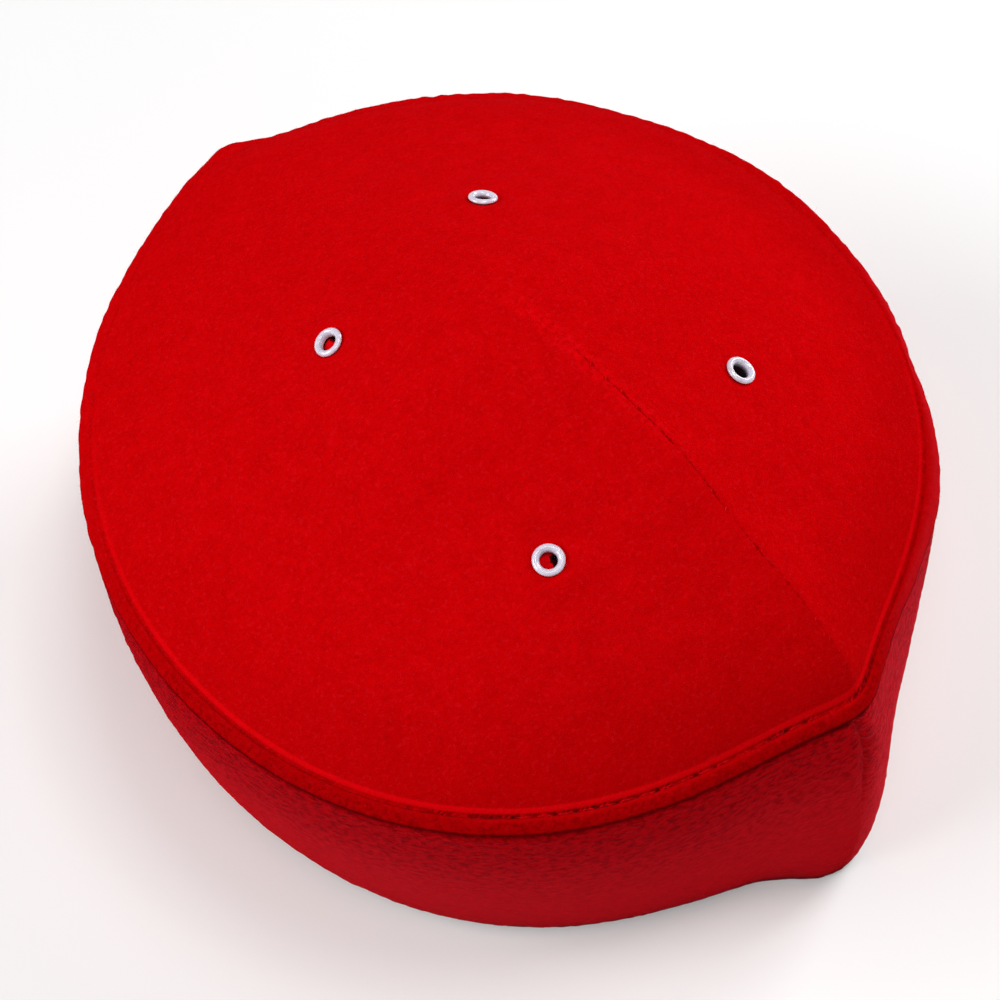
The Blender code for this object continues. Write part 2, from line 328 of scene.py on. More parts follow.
def crown_base_height(angle, share):
    x, y = crown_place(angle, share)
    level = RIM_HEIGHT + (rim_height(angle) - RIM_HEIGHT) * share * share
    rise = (CROWN_RISE - rim_puff(angle)) * crown_shape(x, y, share)
    return level + rise + flank_fullness(x, y, share)


def crown_height(angle, share):
    x, y = crown_place(angle, share)
    inwards = (1.0 - share) * outline_radius(RIM, angle)
    off_rim = 1.0 - np.exp(-inwards / PUFF_WIDTH)
    pinch = PINCH_HEIGHT * bell(from_ridge(x, y), PINCH_HALF_WIDTH)
    pinch = pinch * fade(y, PINCH_END_Y - PINCH_FADE, PINCH_END_Y)
    return crown_base_height(angle, share) + off_rim * (rim_puff(angle) + pinch)


def crown_point_at(x, y):
    angle = math.atan2(x, RIM.centre_y - y)
    share = math.hypot(x, y - RIM.centre_y) / float(outline_radius(RIM, angle))
    return Vector((x, y, float(crown_height(angle, share))))


def crown_frame_at(x, y):
    """The crown's surface point and its upward normal."""
    reach = 2.0 * MM
    along_x = crown_point_at(x + reach, y) - crown_point_at(x - reach, y)
    along_y = crown_point_at(x, y + reach) - crown_point_at(x, y - reach)
    return crown_point_at(x, y), along_x.cross(along_y).normalized()


def waves(points, size, seed, count=28):
    """Soft random ups and downs of about one unit over a given size."""
    draw = np.random.default_rng(seed)
    ways = draw.normal(size=(count, 3))
    ways /= np.linalg.norm(ways, axis=1, keepdims=True)
    ways *= 2.0 * math.pi / (size * draw.uniform(0.7, 1.6, size=(count, 1)))
    phases = draw.uniform(0.0, 2.0 * math.pi, size=count)
    return np.sin(points @ ways.T + phases).sum(axis=1) * math.sqrt(2.0 / count)


def relief(points, layers):
    return sum(layer.height * waves(points, layer.size, layer.seed) for layer in layers)


def make_arc_lookup():
    """Length along the rim's stitched line up to an angle, from the back corner round to it."""
    angles = np.linspace(-math.pi, math.pi, 2881)
    x, y = outline_point(RIM, angles)
    steps = np.hypot(np.diff(x), np.diff(y))
    return angles, np.concatenate([[0.0], np.cumsum(steps)])


ARC_ANGLES, ARC_LENGTHS = make_arc_lookup()
RIM_STITCHES = round(ARC_LENGTHS[-1] / STITCH_PITCH)


def wander(table, angle):
    return sum(row.outset * bell(wrap(angle - row.angle), row.spread) for row in table)


def rim_relief(angle):
    """How deeply the rim is quilted: fully towards the front and not at all at the back."""
    away = np.abs(wrap(angle - QUILTED_ANGLE))
    return fade(away, QUILTED_HALF_SPAN, QUILTED_HALF_SPAN + QUILTED_FADE)


def rim_fill(angle, out):
    """Where the rim runs smooth, the felt bridges the crease along the stitched line."""
    return RIM_FILL * np.exp(-np.abs(out) / RIM_FILL_REACH) * (1.0 - rim_relief(angle))


def stitch_show(angle):
    """How plainly the rim's stitches show: most beside the front corner, on the wearer's right."""
    least, most_at, spread = 0.25, -0.45, 0.55
    return least + (1.0 - least) * bell(wrap(angle - most_at), spread)


def stitches_along(angle):
    """Number of rim stitches up to an angle."""
    return np.interp(angle, ARC_ANGLES, ARC_LENGTHS) / ARC_LENGTHS[-1] * RIM_STITCHES


def back_corner_pinch(angle):
    return BACK_CORNER_PINCH * bell(wrap(angle - BACK_CORNER_ANGLE), BACK_CORNER_SPREAD)


# ---------------------------------------------------------------- mesh helpers


def link(name, data):
    piece = bpy.data.objects.new(name, data)
    bpy.context.scene.collection.objects.link(piece)
    return piece


def smooth_mesh(name, points, faces):
    data = bpy.data.meshes.new(name)
    data.from_pydata(points.tolist(), [], faces)
    data.update()
    data.shade_smooth()
    return data


def grid_faces(rows, columns, close_rows=False, close_columns=True):
    """Quads between neighbouring rows and columns, joined round to the first where they close."""
    row = np.arange(rows if close_rows else rows - 1)[:, None]
    column = np.arange(columns if close_columns else columns - 1)
    next_row, next_column = (row + 1) % rows, (column + 1) % columns
    corners = ((row, column), (next_row, column), (next_row, next_column), (row, next_column))
    return np.stack([(r * columns + c).ravel() for r, c in corners], axis=1)


def vertex_places(data):
    places = np.zeros(len(data.vertices) * 3)
    data.vertices.foreach_get("co", places)
    return places.reshape(-1, 3)


def corner_vertices(data):
    corners = np.zeros(len(data.loops), dtype=np.int32)
    data.loops.foreach_get("vertex_index", corners)
    return corners


def give_loop_pairs(data, name, pairs_by_corner):
    layer = data.uv_layers.new(name=name)
    layer.data.foreach_set("uv", np.ascontiguousarray(pairs_by_corner, dtype=np.float32).ravel())


def give_point_values(data, name, values):
    layer = data.attributes.new(name, "FLOAT", "POINT")
    layer.data.foreach_set("value", np.ascontiguousarray(values, dtype=np.float32))


def standing_at(place, normal):
    """Moves what is built upright at the origin to a place, and turns its top along a normal."""
    return Matrix.Translation(place) @ normal.to_track_quat("Z", "Y").to_matrix().to_4x4()


# ---------------------------------------------------------------- crown


def eyelet_frame(eyelet):
    """An eyelet's place on the crown and the way it faces."""
    point, normal = crown_frame_at(eyelet.x, eyelet.y)
    return point, (normal + Vector((eyelet.lean_x, eyelet.lean_y, 0.0))).normalized()


EYELET_FRAMES = {eyelet.name: eyelet_frame(eyelet) for eyelet in EYELETS}


def off_eyelet(points, place, normal):
    """How far points lie up an eyelet's normal, and how far from its axis."""
    offset = points - np.array(place)
    along = offset @ np.array(normal)
    return along, np.linalg.norm(offset - along[:, None] * np.array(normal), axis=1)


def eyelet_press(points):
    """How the felt lies flat under the flanges, is pressed in by them and swells round them."""
    flat_reach, pressed_reach = (3.4 * MM, 10.0 * MM), (2.9 * MM, 4.3 * MM)
    depth, swell, swell_at, swell_width = 0.35 * MM, 0.16 * MM, 5.2 * MM, 1.6 * MM
    press = np.zeros(len(points))
    for place, normal in EYELET_FRAMES.values():
        along, away = off_eyelet(points, place, normal)
        press -= along / normal.z * fade(away, *flat_reach)
        press -= depth * fade(away, *pressed_reach)
        press += swell * bell(away - swell_at, swell_width)
    return press


def ridge_detail(x, y):
    """Height of the stitched ridge's own groove and the soft lips beside it."""
    groove, groove_width = -0.16 * MM, 0.28 * MM
    lip, lip_at, lip_width = 0.05 * MM, 0.8 * MM, 0.5 * MM
    across = from_ridge(x, y)
    sewn = fade(y, -18.0 * MM, -6.0 * MM) * (1.0 - 0.85 * smooth_step(-y, 30.0 * MM, 50.0 * MM))
    lips = lip * bell(np.abs(across) - lip_at, lip_width)
    return (groove * bell(across, groove_width) + lips) * sewn


def front_crowded_angles():
    """Angles once round the hat, close together where the ridge runs."""
    fine, coarse = 0.0026, 0.0098
    fine_until, transition = 0.05, 0.12
    steps = [0.0]
    while steps[-1] < math.pi:
        spread = min(1.0, max(0.0, (steps[-1] - fine_until) / transition))
        steps.append(steps[-1] + fine + (coarse - fine) * spread)
    half = np.array(steps) * (math.pi / steps[-1])
    return np.concatenate([-half[::-1], half[1:-1]])


def smooth_section(points, fine_steps):
    """More points along a smooth curve through a section's points."""
    table = np.array(points)
    padded = np.vstack([2 * table[0] - table[1], table, 2 * table[-1] - table[-2]])
    result = []
    for i in range(len(table) - 1):
        before, start, end, after = padded[i : i + 4]
        linear = end - before
        square = 2 * before - 5 * start + 4 * end - after
        cube = 3 * start - before - 3 * end + after
        for k in range(fine_steps):
            t = k / fine_steps
            result.append(0.5 * (2 * start + linear * t + square * t * t + cube * t * t * t))
    return [RollPoint(*point) for point in result] + [points[-1]]


def rim_lip(inwards, angle):
    """The swell of the felt just inside the stitched line."""
    height, place, width = 0.28 * MM, 0.20 * MM, 0.36 * MM
    return height * bell(inwards - place, width) * rim_relief(angle)


def ring_below(angles, share, depth):
    """A ring at a depth under the crown, as it would be without its puffed rim."""
    x, y = crown_place(angles, share)
    return np.column_stack([x, y, crown_base_height(angles, share) - depth])


def make_crown_felt():
    angles = front_crowded_angles()
    along = stitches_along(angles)
    columns = len(angles)
    top_shares = np.concatenate([np.linspace(0.012, 0.94, 74), np.linspace(0.945, 0.9985, 20)])
    unseen = -20.0 * MM
    rings, outs = [], []
    for share in top_shares:
        x, y = crown_place(angles, share)
        inwards = (1.0 - share) * outline_radius(RIM, angles)
        z = crown_height(angles, share) + ridge_detail(x, y) + rim_lip(inwards, angles)
        z = z + rim_fill(angles, inwards)
        z = z + fade(share, 0.90, 1.0) * relief(np.column_stack([x, y, z]), CROWN_RELIEF)
        rings.append(np.column_stack([x, y, z]))
        outs.append(-inwards)
    for point in smooth_section(ROLL, ROLL_FINE_STEPS):
        rings.append(rim_ring(angles, along, point))
        outs.append(np.full(columns, point.out))
    for share in (0.985, 0.93, 0.8, 0.6, 0.4, 0.2, 0.05):
        rings.append(ring_below(angles, share, CROWN_FELT))
        outs.append(np.full(columns, unseen))
    rows, last = len(rings), len(rings) * columns
    centre_z = float(crown_height(0.0, 0.0))
    centres = [[0.0, RIM.centre_y, centre_z], [0.0, RIM.centre_y, centre_z - CROWN_FELT]]
    points = np.vstack(rings + [centres])
    top = slice(0, len(top_shares) * columns)
    points[top, 2] += eyelet_press(points[top])
    first = np.arange(columns)
    following = (first + 1) % columns
    base = (rows - 1) * columns
    upper_fan = np.stack([np.full(columns, last), first, following], axis=1)
    lower_fan = np.stack([base + first, np.full(columns, last + 1), base + following], axis=1)
    faces = grid_faces(rows, columns).tolist() + upper_fan.tolist() + lower_fan.tolist()
    data = smooth_mesh("crown_felt", points, faces)
    give_seam_pairs(data, points, angles, along, np.concatenate(outs + [[unseen, unseen]]), rows)
    return link("crown_felt", data)


def rim_ring(angles, along, point):
    """One ring of the rolled rim, softly quilted between its stitches."""
    between = 0.5 - 0.5 * np.cos(2.0 * math.pi * along)
    quilting = rim_relief(angles)
    outer = smooth_step(point.out, 0.9 * MM, 2.4 * MM)
    groove_at, groove_width, stitch_sink = 0.7 * MM, 0.4 * MM, 0.30 * MM
    in_groove = bell(point.out - groove_at, groove_width) if point.up > GROOVED_ABOVE else 0.0
    x, y = outline_point(RIM, angles, point.out)
    lumps = relief(np.column_stack([x, y, rim_height(angles)]), ROLL_RELIEF)
    swell = outer * (lumps + 0.015 * MM * between + wander(RIM_WANDER, angles))
    x, y = outline_point(RIM, angles, point.out + swell + outer * back_corner_pinch(angles))
    up = point.smooth_up + (point.up - point.smooth_up) * quilting
    if point.up > FILLED_ABOVE:
        up = up + rim_fill(angles, point.out)
    z = rim_height(angles) + up + outer * (1.2 * lumps + 0.04 * MM * between)
    z = z - in_groove * (stitch_sink * (1.0 - between) ** 2) * stitch_show(angles) * quilting
    return np.column_stack([x, y, z])


def give_seam_pairs(data, points, angles, along, outs, rows):
    """Two maps: place along and across the rim's stitches, and along and across the ridge's."""
    vertices = corner_vertices(data)
    columns = len(angles)
    along_all = np.concatenate([np.tile(along, rows), [0.0, 0.0]])[vertices]
    column = np.concatenate([np.tile(np.arange(columns), rows), [1, 1]])[vertices]
    starts = np.zeros(len(data.polygons), dtype=np.int32)
    data.polygons.foreach_get("loop_start", starts)
    face_of = np.repeat(np.arange(len(starts)), np.diff(np.append(starts, len(vertices))))
    highest = np.maximum.reduceat(column, starts)
    closing = (highest[face_of] == columns - 1) & (column == 0)
    along_all = np.where(closing, RIM_STITCHES, along_all)
    give_loop_pairs(data, "rim_seam", np.column_stack([along_all, outs[vertices] / MM]))
    x, y = points[:, 0], points[:, 1]
    ridge = np.column_stack([-y / STITCH_PITCH, from_ridge(x, y) / MM])
    give_loop_pairs(data, "ridge_seam", ridge[vertices])


def add_prism(points, faces, centre, normal, radii, reach):
    """Adds a closed prism along a normal, whose outline is given by its radii."""
    first, sides = len(points), len(radii)
    turn = normal.to_track_quat("Z", "Y").to_matrix()
    for up in (-reach, reach):
        for i, radius in enumerate(radii):
            t = i * 2.0 * math.pi / sides
            points.append(centre + turn @ Vector((radius * math.cos(t), radius * math.sin(t), up)))
    for i in range(sides):
        k = (i + 1) % sides
        faces.append([first + i, first + k, first + sides + k, first + sides + i])
    faces.append([first + i for i in reversed(range(sides))])
    faces.append([first + sides + i for i in range(sides)])


def cut_away(piece, points, faces, shells=False):
    """Cuts the closed prisms out of a piece; shells says that it is several closed shells."""
    data = bpy.data.meshes.new("punch")
    data.from_pydata(points, [], faces)
    punch = link("punch", data)
    cut = piece.modifiers.new("holes", "BOOLEAN")
    cut.operation = "DIFFERENCE"
    cut.solver = "EXACT"
    cut.use_self = shells
    cut.object = punch
    ready = piece.evaluated_get(bpy.context.evaluated_depsgraph_get())
    whole = piece.data
    name = whole.name
    piece.data = bpy.data.meshes.new_from_object(ready)
    piece.modifiers.clear()
    bpy.data.meshes.remove(whole)
    piece.data.name = name
    bpy.data.objects.remove(punch)


def punch_crown(crown):
    """Cuts the eyelets' holes through the crown, and marks how deep their walls lie, for the shade
    painted down them.
    """
    sides, reach, shade_depth = 40, 3.2 * MM, 3.0 * MM
    points, faces = [], []
    for place, normal in EYELET_FRAMES.values():
        add_prism(points, faces, place, normal, [PUNCH_RADIUS] * sides, reach)
    cut_away(crown, points, faces)
    places = vertex_places(crown.data)
    depth = np.zeros(len(places))
    for place, normal in EYELET_FRAMES.values():
        along, away = off_eyelet(places, place, normal)
        on_wall = (away < PUNCH_RADIUS + 0.05 * MM) & (along < 0.0)
        depth = np.where(on_wall, -along / shade_depth, depth)
    give_point_values(crown.data, "cut_depth", depth)


def punch_lining(lining):
    """Cuts the lining's own frayed holes, a little off the eyelets above them."""
    draw = np.random.default_rng(33)
    sides, fray, hole_depth, reach = 36, 0.09, 4.0 * MM, 3.1 * MM
    points, faces = [], []
    for eyelet in EYELETS:
        place, normal = EYELET_FRAMES[eyelet.name]
        drop = (eyelet.hole_x * normal.x + eyelet.hole_y * normal.y) / normal.z
        centre = place + Vector((eyelet.hole_x, eyelet.hole_y, -drop)) - normal * hole_depth
        radii = eyelet.hole_radius * (1.0 + fray * draw.normal(size=sides))
        add_prism(points, faces, centre, normal, radii.tolist(), reach)
    cut_away(lining, points, faces, shells=True)


def add_bulges(lining):
    """Joins the lining's bulges to it, as closed shells whose feet stand in its felt."""
    whole = bmesh.new()
    whole.from_mesh(lining.data)
    for eyelet in EYELETS:
        section = [(p.radius, p.up - eyelet.barrel) for p in BULGE_SECTION]
        section = [(1.6 * MM, BULGE_FOOT), *section, (2.3 * MM, BULGE_FOOT)]
        bulge = turned("bulge", cut_corners(section, 1), sides=40)
        bulge.transform(standing_at(*EYELET_FRAMES[eyelet.name]))
        whole.from_mesh(bulge)
        bpy.data.meshes.remove(bulge)
    whole.to_mesh(lining.data)
    whole.free()
    lining.data.shade_smooth()


def make_lining():
    angles = np.linspace(-math.pi, math.pi, 181)[:-1]
    upper = np.concatenate([[0.02], np.linspace(0.06, 0.996, 46)])
    rings = [ring_below(angles, share, LINING_DEPTH) for share in upper]
    rings += [ring_below(angles, share, LINING_DEPTH + LINING_FELT) for share in upper[::-1]]
    points = np.vstack(rings)
    points[:, 2] += relief(points * (1, 1, 0), LINING_RELIEF)
    rows, columns = len(rings), len(angles)
    faces = grid_faces(rows, columns).tolist()
    faces.append(list(range(columns)))
    faces.append([(rows - 1) * columns + i for i in range(columns)][::-1])
    return link("lining_felt", smooth_mesh("lining_felt", points, faces))


# ---------------------------------------------------------------- side bands

SeamPoint = namedtuple("SeamPoint", "share angle")
FRONT_SEAM = (
    SeamPoint(0.0, -0.030),
    SeamPoint(0.05, -0.021),
    SeamPoint(0.14, -0.015),
    SeamPoint(0.22, -0.016),
    SeamPoint(0.30, -0.025),
    SeamPoint(0.40, -0.033),
    SeamPoint(0.60, -0.030),
    SeamPoint(1.0, -0.022),
)
BACK_SEAM = (
    SeamPoint(0.0, math.pi - 0.066),
    SeamPoint(0.5, math.pi - 0.025),
    SeamPoint(1.0, math.pi),
)

# A band's cloth, laid flat, and its columns and rows, which crowd at its seams and edges.
BAND_LENGTH = 289.0 * MM
BAND_HEIGHT = 72.0 * MM
BAND_COLUMN_STEP = 0.8 * MM
BESIDE_SEAM = np.array([0.0, 0.12, 0.27, 0.45, 0.7, 1.0, 1.4, 1.9, 2.5, 3.1]) * MM
BETWEEN_SEAMS_FROM = 3.8 * MM
BELOW_ROLL = np.array([0.0, 0.15, 0.35, 0.6, 0.9, 1.3, 1.8, 2.4]) * MM
ABOVE_HEM = np.array([0.6, 0.3, 0.12, 0.0]) * MM
BAND_MIDDLE_ROWS = 88
BAND_INNER_SHARES = (1.0, 0.97, 0.9, 0.8, 0.65, 0.5, 0.35, 0.2, 0.08, 0.0)


def seam_angle(table, share):
    return np.interp(share, [p.share for p in table], [p.angle for p in table])


def band_place(angle, share, outset):
    folded = wrap(angle)
    top_x, top_y = outline_point(RIM, folded, BAND_TOP_OUT + outset)
    foot_x, foot_y = outline_point(FOOT, folded, outset)
    top_z = rim_height(folded) + ROLL_UNDERSIDE - GAP * 0.4
    x = top_x + (foot_x - top_x) * share
    y = top_y + (foot_y - top_y) * share
    return np.column_stack([x, y, top_z * (1.0 - share)])


def band_swell(share):
    return BAND_BULGE * 4.0 * share * (1.0 - share)


def seam_hollow(distance):
    """How far the felt turns in towards a sewn seam, and the soft lip beside it."""
    hollow, reach = -1.0 * MM, 0.8 * MM
    lip, lip_at, lip_width = 0.22 * MM, 3.0 * MM, 1.8 * MM
    return hollow * np.exp(-distance / reach) + lip * bell(distance - lip_at, lip_width)


def seam_pucker(share, distance):
    """Small gathers down a sewn seam, and how far from it they reach."""
    height, pitch, reach = 0.16 * MM, 3.6 * MM, 3.0 * MM
    gathers = height * np.sin(2 * math.pi * share * BAND_HEIGHT / pitch)
    return gathers * (np.exp(-distance / reach) + np.exp(-(BAND_LENGTH - distance) / reach))


def band_columns():
    """Places along a band from one seam to the other, close together beside the seams."""
    between = BAND_LENGTH - 2.0 * BETWEEN_SEAMS_FROM
    count = round(between / BAND_COLUMN_STEP)
    middle = np.linspace(BETWEEN_SEAMS_FROM, BAND_LENGTH - BETWEEN_SEAMS_FROM, count)
    return np.concatenate([BESIDE_SEAM, middle, BAND_LENGTH - BESIDE_SEAM[::-1]])


def band_angles(share, travel, side):
    front = seam_angle(FRONT_SEAM, share)
    back = seam_angle(BACK_SEAM, share) - (0.0 if side > 0 else 2.0 * math.pi)
    return front + (back - front) * (travel / BAND_LENGTH)


def make_band(name, side):
    """Half of the side wall with its seams turned in; side is +1 for the wearer's left."""
    travel = band_columns()
    middle = np.linspace(3.1 * MM / BAND_HEIGHT, 1.0 - 1.0 * MM / BAND_HEIGHT, BAND_MIDDLE_ROWS)
    outer = np.concatenate([BELOW_ROLL / BAND_HEIGHT, middle, 1.0 - ABOVE_HEM / BAND_HEIGHT])
    rings = [outer_row(share, travel, side) for share in outer]
    for share in BAND_INNER_SHARES:
        outset = np.full(len(travel), band_swell(share) - BAND_FELT)
        rings.append(band_place(band_angles(share, travel, side), share, outset))
    rows, columns = len(rings), len(travel)
    quads = grid_faces(rows, columns, close_rows=True, close_columns=False)
    start_cap = (np.arange(rows) * columns).tolist()
    end_cap = (np.arange(rows) * columns + columns - 1).tolist()
    if side > 0:
        quads = quads[:, ::-1]
        caps = [start_cap, end_cap[::-1]]
    else:
        caps = [start_cap[::-1], end_cap]
    data = smooth_mesh(name, np.vstack(rings), quads.tolist() + caps)
    data.set_sharp_from_angle(angle=math.radians(60.0))
    down = np.concatenate([outer, BAND_INNER_SHARES]) * BAND_HEIGHT
    pairs = np.column_stack([np.tile(travel, rows), np.repeat(down, columns)])
    give_loop_pairs(data, "cloth", pairs[corner_vertices(data)])
    return link(name, data)


def outer_row(share, travel, side):
    angle = band_angles(share, travel, side)
    swell = band_swell(share)
    tuck = -2.5 * MM * math.exp(-share * BAND_HEIGHT / (0.9 * MM))
    hem = -0.5 * MM * math.exp(-(1.0 - share) * BAND_HEIGHT / (0.35 * MM))
    seamed = 1.0 - 0.92 * smooth_step(share, 0.22, 0.62)
    seams = seam_hollow(travel) + seam_hollow(BAND_LENGTH - travel)
    seams = seams * smooth_step(share, 0.0, 0.03) * seamed
    flat = band_place(angle, share, np.full(len(angle), swell))
    lumps = relief(flat, BAND_RELIEF) + relief(flat * WOOL_FLATNESS, WOOL_RELIEF)
    quiet = smooth_step(share, 0.0, 0.05) * (1.0 - 0.7 * smooth_step(share, 0.97, 1.0))
    pucker = seam_pucker(share, travel) * seamed
    corner = back_corner_pinch(angle) * fade(share, 0.0, 0.5)
    corner = corner + wander(RIM_WANDER, angle) * fade(share, 0.0, 0.4)
    corner = corner + wander(FOOT_WANDER, angle) * smooth_step(share, 0.5, 1.0)
    corner = corner + wander(BELLY_WANDER, angle) * bell(share - BELLY_SHARE, BELLY_SPREAD)
    outset = swell + tuck + hem + seams + (lumps + pucker) * quiet + corner
    return band_place(angle, share, outset)


# ---------------------------------------------------------------- eyelets, threads and fibres


def turned(name, section, sides):
    """A closed section turned round the upright axis."""
    rows = []
    for i in range(sides):
        turn = 2.0 * math.pi * i / sides
        rows.append([(r * math.cos(turn), r * math.sin(turn), up) for r, up in section])
    faces = np.roll(grid_faces(sides, len(section), close_rows=True), -1, axis=1)
    return smooth_mesh(name, np.array(rows).reshape(-1, 3), faces.tolist())


def cut_corners(section, rounds):
    """A closed section with its corners cut softer each round."""
    points = np.array(section)
    for _ in range(rounds):
        following = np.roll(points, -1, axis=0)
        after_corner = 0.8 * points + 0.2 * following
        before_next = 0.2 * points + 0.8 * following
        points = np.stack([after_corner, before_next], axis=1).reshape(-1, 2)
    return [tuple(point) for point in points]


def make_eyelet(eyelet):
    """An enamelled eyelet, with the painted shade down its bore kept at its points."""
    name = eyelet.name + "_enamel"
    inner_end = (EYELET_SECTION[0].radius, -eyelet.barrel)
    outer_end = (EYELET_SECTION[-1].radius, -eyelet.barrel)
    section = cut_corners([inner_end, *EYELET_SECTION, outer_end], 3)
    piece = link(name, turned(name, section, EYELET_SIDES))
    radius, up = np.array(section).T
    bore = smooth_step(-up, BORE_DARKENS_FROM, eyelet.dark_by) * (radius < BORE_RADIUS)
    give_point_values(piece.data, "inside", np.tile(bore, EYELET_SIDES))
    piece.data.transform(standing_at(*EYELET_FRAMES[eyelet.name]))
    return piece


def tube_points(path, radius, sides):
    """Rings of points round a path of places, with the ends drawn in."""
    ways = np.gradient(path, axis=0)
    ways /= np.linalg.norm(ways, axis=1, keepdims=True)
    across = np.cross(ways, (0.0, 0.0, 1.0))
    across /= np.maximum(np.linalg.norm(across, axis=1, keepdims=True), 1e-9)
    lift = np.cross(across, ways)
    turns = (np.arange(sides) * 2.0 * math.pi / sides)[None, :, None]
    size = radius * np.sqrt(np.clip(1.0 - np.linspace(-1.0, 1.0, len(path)) ** 6, 0.05, 1.0))
    around = np.cos(turns) * across[:, None, :] + np.sin(turns) * lift[:, None, :]
    return (path[:, None, :] + size[:, None, None] * around).reshape(-1, 3)


def join_tubes(name, paths, radius, sides=7):
    points, faces, base = [], [], 0
    for path in paths:
        points.append(tube_points(path, radius, sides))
        faces += (grid_faces(len(path), sides) + base).tolist()
        faces.append([base + i for i in range(sides)])
        faces.append([base + (len(path) - 1) * sides + i for i in reversed(range(sides))])
        base += len(path) * sides
    return link(name, smooth_mesh(name, np.vstack(points), faces))


def make_rim_stitches():
    """Running stitches sunk in the groove between the panel and the roll."""
    draw = np.random.default_rng(51)
    groove, scatter = 0.72 * MM, 0.05
    sunk, end_drop, hidden_drop = 0.36 * MM, 0.6 * MM, 0.5 * MM
    paths = []
    for i in range(RIM_STITCHES):
        span = np.linspace(i + 0.10, i + 0.90, 9)
        lengths = span / RIM_STITCHES * ARC_LENGTHS[-1]
        angles = np.interp(lengths, ARC_LENGTHS, ARC_ANGLES)
        dip = (2.0 * (span - i) - 1.0) ** 4
        x, y = outline_point(RIM, angles, groove + draw.normal(0.0, scatter) * MM)
        z = rim_height(angles) - sunk - dip * end_drop - hidden_drop * (1.0 - stitch_show(angles))
        paths.append(np.column_stack([x, y, z]))
    return join_tubes("rim_topstitch", paths, 0.14 * MM)


def make_ridge_stitches():
    """Small slanted stitches that draw the two sides of the ridge together."""
    draw = np.random.default_rng(52)
    first_y, last_y, half_width = -9.3 * MM, -82.0 * MM, 0.38 * MM
    reach = np.linspace(-1.0, 1.0, 7)
    paths = []
    y = first_y
    while y > last_y:
        slant = draw.uniform(0.1, 0.5) * MM
        xs = ridge_place(y) + reach * half_width
        ys = y + reach * slant
        zs = [crown_point_at(float(a), float(b)).z for a, b in zip(xs, ys)]
        arch = draw.uniform(-0.16, 0.02) * MM - (np.abs(reach) ** 3) * 0.4 * MM
        paths.append(np.column_stack([xs, ys, np.array(zs) + arch]))
        y -= STITCH_PITCH
    return join_tubes("ridge_stitches", paths, 0.10 * MM)


def surface_samples(piece, count, seed, keep):
    """Random places on a piece's faces with their normals, kept where keep says so."""
    data = piece.data
    data.calc_loop_triangles()
    corners = np.zeros(len(data.loop_triangles) * 3, dtype=np.int32)
    data.loop_triangles.foreach_get("vertices", corners)
    corners = corners.reshape(-1, 3)
    a, b, c = np.moveaxis(vertex_places(data)[corners], 1, 0)
    normals = np.cross(b - a, c - a)
    areas = np.linalg.norm(normals, axis=1)
    normals /= np.maximum(areas, 1e-15)[:, None]
    weights = areas * keep((a + b + c) / 3.0, normals)
    draw = np.random.default_rng(seed)
    chosen = draw.choice(len(corners), size=count, p=weights / weights.sum())
    u, v = draw.random((2, count))
    flip = u + v > 1.0
    u, v = np.where(flip, 1.0 - u, u), np.where(flip, 1.0 - v, v)
    places = a[chosen] + u[:, None] * (b - a)[chosen] + v[:, None] * (c - a)[chosen]
    return places, normals[chosen], draw


def make_nap(name, piece, count, seed, keep, lay):
    """Loose surface fibres of brushed felt, each a thin bent sliver lying near the surface."""
    places, normals, draw = surface_samples(piece, count, seed, keep)
    scatter, length_shape, length_scale, root_depth = 0.9, 4.0, 0.19, 0.04 * MM
    least_rise, rise_spread, tip_rise, curl_spread = 0.10, 0.30, 0.35, 0.30
    half_widths = 0.010, 0.020
    way = draw.normal(size=(count, 3)) * scatter + lay(places)
    way -= (way * normals).sum(axis=1, keepdims=True) * normals
    way /= np.linalg.norm(way, axis=1, keepdims=True)
    side = np.cross(normals, way)
    length = draw.gamma(length_shape, length_scale, size=(count, 1)) * MM
    rise = np.abs(draw.normal(0.0, rise_spread, size=(count, 1))) + least_rise
    width = draw.uniform(*half_widths, size=(count, 1)) * MM
    root = places - root_depth * normals
    curl = draw.normal(0.0, curl_spread, size=(count, 1))
    middle = root + length * 0.5 * (way + rise * normals)
    tip = middle + length * 0.5 * (way + (rise * tip_rise) * normals + curl * side)
    corners = [root, middle - width * side, middle + width * side, tip]
    points = np.stack(corners, axis=1).reshape(-1, 3)
    points[:, 2] = np.maximum(points[:, 2], LOWEST_FIBRE)
    base = np.arange(count)[:, None] * 4
    data = smooth_mesh(name, points, np.vstack([base + (0, 1, 2), base + (1, 3, 2)]).tolist())
    data.normals_split_custom_set_from_vertices(np.repeat(normals, 4, axis=0).tolist())
    give_point_values(data, "fibre_tone", np.repeat(draw.random(count), 4))
    return link(name, data)


# ---------------------------------------------------------------- materials


def adds_math(operation):
    return lambda value, other=None: value.graph.math(operation, value, other)


class Value:
    """What a node gives. Sums, products and the like of values add math nodes."""

    def __init__(self, graph, socket):
        self.graph = graph
        self.socket = socket

    __add__ = adds_math("ADD")
    __sub__ = adds_math("SUBTRACT")
    __mul__ = adds_math("MULTIPLY")
    __truediv__ = adds_math("DIVIDE")
    __pow__ = adds_math("POWER")
    __abs__ = adds_math("ABSOLUTE")
    fraction = adds_math("FRACT")
    or_more = adds_math("MAXIMUM")

    def __rsub__(self, other):
        return self.graph.math("SUBTRACT", other, self)

    def eased(self, low, high, to_low=0.0, to_high=1.0):
        """Goes smoothly from to_low, where the value is low, to to_high, where it is high."""
        inputs = {0: self, 1: low, 2: high, 3: to_low, 4: to_high}
        return self.graph.add("MapRange", inputs, interpolation_type="SMOOTHSTEP")


